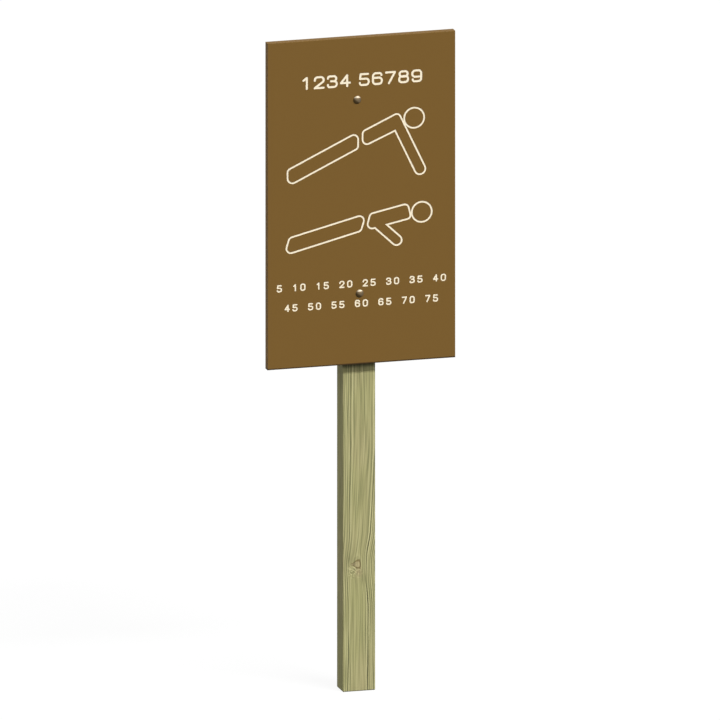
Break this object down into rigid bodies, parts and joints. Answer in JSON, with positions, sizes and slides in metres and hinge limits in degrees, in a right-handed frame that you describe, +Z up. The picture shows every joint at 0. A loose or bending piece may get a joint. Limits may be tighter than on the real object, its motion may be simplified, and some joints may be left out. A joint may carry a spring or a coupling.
{
  "type": "fitness trail sign",
  "caption": "Rectangular engraved board bolted to the front of a square-cut timber post; outline figures on it show a push-up.",
  "frame": {"origin": "centre of the post's foot, at ground level", "axes": "+Z up along the post, -Y the way the board faces, +X to the right of someone who reads it"},
  "size_m": [0.404, 0.0838, 1.406],
  "materials": {
    "treated_pine": "planed, pressure-treated, matt",
    "board_brown": "solid-coloured sheet, satin",
    "infill_cream": "matt enamel in the engraved lines",
    "galvanised_steel": "zinc plated, dull"
  },
  "bodies": {
    "root": {"post": "treated_pine", "board": "board_brown", "upper_bolt": "galvanised_steel", "lower_bolt": "galvanised_steel", "upper_washer": "galvanised_steel", "lower_washer": "galvanised_steel", "upper_nut": "galvanised_steel", "lower_nut": "galvanised_steel", "upper_body_line": "infill_cream", "upper_leg_line": "infill_cream", "lower_body_line": "infill_cream", "lower_leg_line": "infill_cream"}
  },
  "joints": []
}
